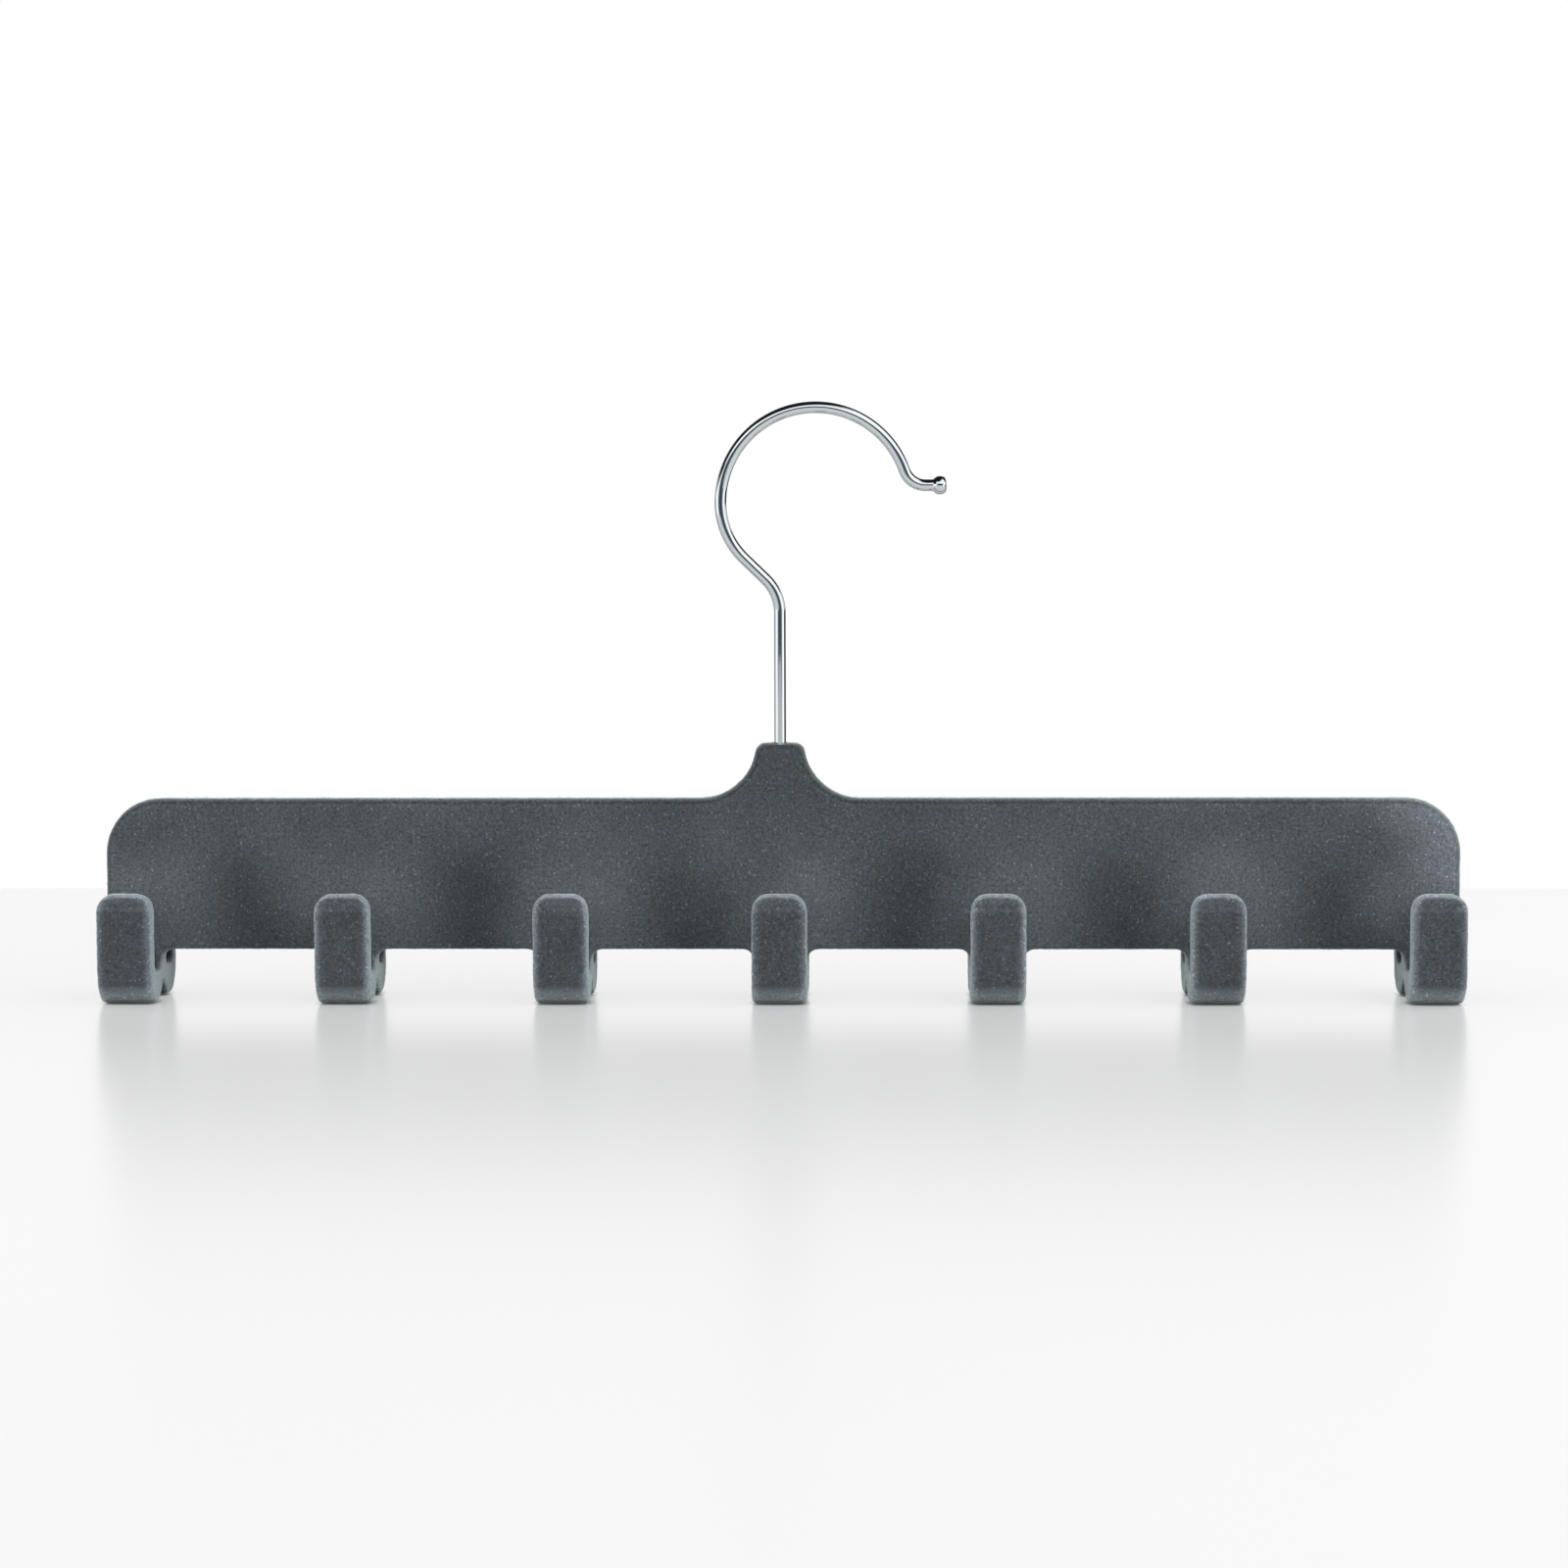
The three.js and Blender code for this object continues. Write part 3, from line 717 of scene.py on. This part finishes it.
def white_table():
    """Satin white laminate, which mirrors softly at a low angle."""
    material, tree = blank_material("white_laminate")
    place = add(tree, 'ShaderNodeTexCoord').outputs["Object"]
    cloud = add(tree, 'ShaderNodeTexNoise', {"Vector": place, "Scale": 1 / TABLE_CLOUD_SIZE, "Detail": 1.0})
    rough = add(tree, 'ShaderNodeMapRange', {"Value": cloud.outputs["Fac"], "To Min": 0.22, "To Max": 0.25})
    lit = add(tree, 'ShaderNodeBsdfPrincipled', {
        "Base Color": srgb("#dcdcdc"), "Roughness": rough.outputs[0], "IOR": 1.5})
    # seen straight or mirrored it keeps a part of its shadows, the rest is plain white under the same gloss
    white = add(tree, 'ShaderNodeEmission', {"Color": srgb("#fbfbfb"), "Strength": 1.0})
    # its gloss is worn towards the front edge
    gloss = add(tree, 'ShaderNodeBsdfAnisotropic', {"Color": srgb("#ffffff"), "Roughness": rough.outputs[0]})
    fresnel = add(tree, 'ShaderNodeFresnel', {"IOR": 1.5})
    depth = add(tree, 'ShaderNodeSeparateXYZ', {"Vector": place})
    worn = add(tree, 'ShaderNodeMapRange', {
        "Value": depth.outputs["Y"], "From Min": -0.30, "From Max": -0.06, "To Min": 0.25, "To Max": 0.75})
    satin = add(tree, 'ShaderNodeMath', {0: fresnel.outputs[0], 1: worn.outputs[0]}, operation='MULTIPLY')
    plain = add(tree, 'ShaderNodeMixShader', {0: satin.outputs[0], 1: white.outputs[0], 2: gloss.outputs[0]})
    ray = add(tree, 'ShaderNodeLightPath')
    seen = add(tree, 'ShaderNodeMath', {0: ray.outputs["Is Camera Ray"], 1: ray.outputs["Is Glossy Ray"]},
               operation='MAXIMUM')
    seen = add(tree, 'ShaderNodeMath', {0: seen.outputs[0], 1: ray.outputs["Is Transmission Ray"]},
               operation='MAXIMUM')
    share = add(tree, 'ShaderNodeMath', {0: seen.outputs[0], 1: TABLE_WHITE_SHARE}, operation='MULTIPLY')
    # close to a foot all of the shadow is kept
    crevice = add(tree, 'ShaderNodeAmbientOcclusion', {"Distance": 0.0015}, samples=4)
    crevice = add(tree, 'ShaderNodeMath', {0: crevice.outputs["AO"], 1: 2.0}, operation='POWER')
    share = add(tree, 'ShaderNodeMath', {0: share.outputs[0], 1: crevice.outputs[0]}, operation='MULTIPLY')
    surface = add(tree, 'ShaderNodeMixShader', {0: share.outputs[0], 1: lit.outputs[0], 2: plain.outputs[0]})
    add(tree, 'ShaderNodeOutputMaterial', {"Surface": surface.outputs[0]})
    return material


# Pieces

flock = nylon_flock()
skin = finish_piece("flocked_moulding", flock_skin(), flock, "hanger")
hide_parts("bar", *(f"belt_hook_{i + 1}" for i in range(HOOK_COUNT)))

finish_piece("stray_fibres", stray_fibres(skin), loose_fibre(), "hanger")

wire = finish_piece("wire_hook_bent", wire_form(), chromed_wire(), "swivel_hook")
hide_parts("wire_hook")


# Stage and camera

def lay_table():
    """A white table top under the feet, which is not part of the object."""
    bm = bmesh.new()
    bmesh.ops.create_grid(bm, x_segments=1, y_segments=1, size=1.0)
    bmesh.ops.scale(bm, vec=TABLE_HALF_SIZE, verts=bm.verts)
    bmesh.ops.translate(bm, vec=TABLE_MIDDLE, verts=bm.verts)
    mesh = bpy.data.meshes.new("table")
    bm.to_mesh(mesh)
    bm.free()
    mesh.materials.append(white_table())
    table = bpy.data.objects.new("table", mesh)
    bpy.context.collection.objects.link(table)


def soft_box(name, place, size, power):
    """A rectangular soft light that points at the object and is not mirrored."""
    light = bpy.data.lights.new(name, 'AREA')
    light.shape = 'RECTANGLE'
    light.size, light.size_y = size
    light.energy = power
    lamp = bpy.data.objects.new(name, light)
    lamp.location = place
    lamp.rotation_euler = (Vector(LIGHT_AIM) - Vector(place)).to_track_quat('-Z', 'Y').to_euler()
    lamp.visible_glossy = False
    bpy.context.collection.objects.link(lamp)


def mirrored_room(sky, way, facing):
    """The colour and the strength of what bright metal mirrors in each direction."""
    back = add(sky, 'ShaderNodeMapRange', {"Value": facing.outputs["Y"], "From Min": -1.0, "From Max": 1.0})
    # a dark room on the camera's side, white at the sides, dark gaps, then the white backdrop
    room = add(sky, 'ShaderNodeValToRGB', {"Fac": back.outputs[0]})
    ramp = room.color_ramp
    for element, (position, code) in zip(ramp.elements, (ROOM[0], ROOM[-1])):
        element.position = position
        element.color = srgb(code)
    for position, code in ROOM[1:-1]:
        ramp.elements.new(position).color = srgb(code)
    # the gaps lie below the backdrop and above it, not at the height that the table mirrors
    tilt = add(sky, 'ShaderNodeMath', {0: facing.outputs["Z"], 1: 0.2}, operation='SUBTRACT')
    tilt = add(sky, 'ShaderNodeMath', {0: tilt.outputs[0]}, operation='ABSOLUTE')
    gap = add(sky, 'ShaderNodeMapRange', {"Value": tilt.outputs[0], "From Min": 0.13, "From Max": 0.20})
    camera_side = add(sky, 'ShaderNodeMath', {0: facing.outputs["Y"], 1: 0.0}, operation='LESS_THAN')
    gap = add(sky, 'ShaderNodeMath', {0: gap.outputs[0], 1: camera_side.outputs[0]}, operation='MAXIMUM')
    # the gap on the -X side is paler
    pale = add(sky, 'ShaderNodeMapRange', {
        "Value": facing.outputs["X"], "From Min": -0.6, "From Max": 0.1, "To Min": 0.3, "To Max": 1.0})
    pale = add(sky, 'ShaderNodeMath', {0: pale.outputs[0], 1: camera_side.outputs[0]}, operation='MAXIMUM')
    gap = add(sky, 'ShaderNodeMath', {0: gap.outputs[0], 1: pale.outputs[0]}, operation='MULTIPLY')
    room = add(sky, 'ShaderNodeMix', {0: gap.outputs[0], 6: srgb("#ffffff"), 7: room.outputs["Color"]},
               data_type='RGBA')
    # a dark ceiling, more on the -X side
    overhead = add(sky, 'ShaderNodeVectorMath', {0: way, 1: (-0.5, 0.0, 0.85)}, operation='DOT_PRODUCT')
    ceiling = add(sky, 'ShaderNodeMapRange', {
        "Value": overhead.outputs["Value"], "From Min": 0.56, "From Max": 0.70})
    room = add(sky, 'ShaderNodeMix', {0: ceiling.outputs[0], 6: room.outputs[2], 7: srgb("#1d2022")},
               data_type='RGBA')
    # a long soft box hangs above the camera, and the room on that side is lit more than the backdrop
    strip = add(sky, 'ShaderNodeMath', {0: facing.outputs["Z"], 1: 0.5, 2: 0.17}, operation='COMPARE')
    strip_front = add(sky, 'ShaderNodeMapRange', {
        "Value": facing.outputs["Y"], "From Min": -0.40, "From Max": -0.50})
    strip = add(sky, 'ShaderNodeMath', {0: strip.outputs[0], 1: strip_front.outputs[0]}, operation='MULTIPLY')
    room = add(sky, 'ShaderNodeMix', {0: strip.outputs[0], 6: room.outputs[2], 7: srgb("#ffffff")},
               data_type='RGBA')
    glow = add(sky, 'ShaderNodeMath', {0: camera_side.outputs[0], 1: 0.6, 2: 1.0}, operation='MULTIPLY_ADD')
    return room.outputs[2], glow.outputs[0]


def studio_world():
    """Plain white to the camera, soft light from all round, and a room for bright metal to mirror."""
    world = bpy.data.worlds.new("studio")
    bpy.context.scene.world = world
    world.use_nodes = True
    sky = world.node_tree
    sky.nodes.clear()
    way = add(sky, 'ShaderNodeTexCoord').outputs["Generated"]
    facing = add(sky, 'ShaderNodeSeparateXYZ', {"Vector": way})
    room, glow = mirrored_room(sky, way, facing)
    mirrored = add(sky, 'ShaderNodeBackground', {"Color": room, "Strength": glow})
    # the lit backdrop behind the object is brighter than the room in front of it
    level = add(sky, 'ShaderNodeMapRange', {
        "Value": facing.outputs["Y"], "From Min": -0.3, "From Max": 0.5, "To Min": 0.80, "To Max": 1.02})
    # and the light comes more from around it than from straight above
    above = add(sky, 'ShaderNodeMapRange', {
        "Value": facing.outputs["Z"], "From Min": 0.55, "From Max": 0.95, "To Min": 1.0, "To Max": 0.35,
    }, interpolation_type='SMOOTHSTEP')
    level = add(sky, 'ShaderNodeMath', {0: level.outputs[0], 1: above.outputs[0]}, operation='MULTIPLY')
    soft = add(sky, 'ShaderNodeBackground', {"Color": srgb("#ffffff"), "Strength": level.outputs[0]})
    seen = add(sky, 'ShaderNodeBackground', {"Color": srgb("#ffffff"), "Strength": 1.0})
    ray = add(sky, 'ShaderNodeLightPath')
    glossy = add(sky, 'ShaderNodeMath', {
        0: ray.outputs["Is Glossy Ray"], 1: ray.outputs["Is Transmission Ray"]}, operation='MAXIMUM')
    lit = add(sky, 'ShaderNodeMixShader', {0: glossy.outputs[0], 1: soft.outputs[0], 2: mirrored.outputs[0]})
    view = add(sky, 'ShaderNodeMixShader', {
        0: ray.outputs["Is Camera Ray"], 1: lit.outputs[0], 2: seen.outputs[0]})
    add(sky, 'ShaderNodeOutputWorld', {"Surface": view.outputs[0]})


def set_camera():
    """A camera placed by the lines of the bar and the feet: low, a little right of the middle."""
    camera_data = bpy.data.cameras.new("camera")
    camera_data.sensor_width = CAMERA_SENSOR
    camera_data.lens = CAMERA_LENS
    camera = bpy.data.objects.new("camera", camera_data)
    camera.location = CAMERA_PLACE
    camera.rotation_euler = [math.radians(turn) for turn in CAMERA_TURNS]
    bpy.context.collection.objects.link(camera)
    bpy.context.scene.camera = camera


lay_table()
soft_box("left_box", place=(-1.0, -0.15, 0.5), size=(1.8, 0.8), power=8.7)
soft_box("right_box", place=(0.9, -0.15, 0.5), size=(1.8, 0.8), power=11.5)
soft_box("front_box", place=(0.1, -1.6, 0.95), size=(1.4, 0.8), power=2.5)
studio_world()
set_camera()

bpy.context.scene.view_settings.view_transform = 'Standard'
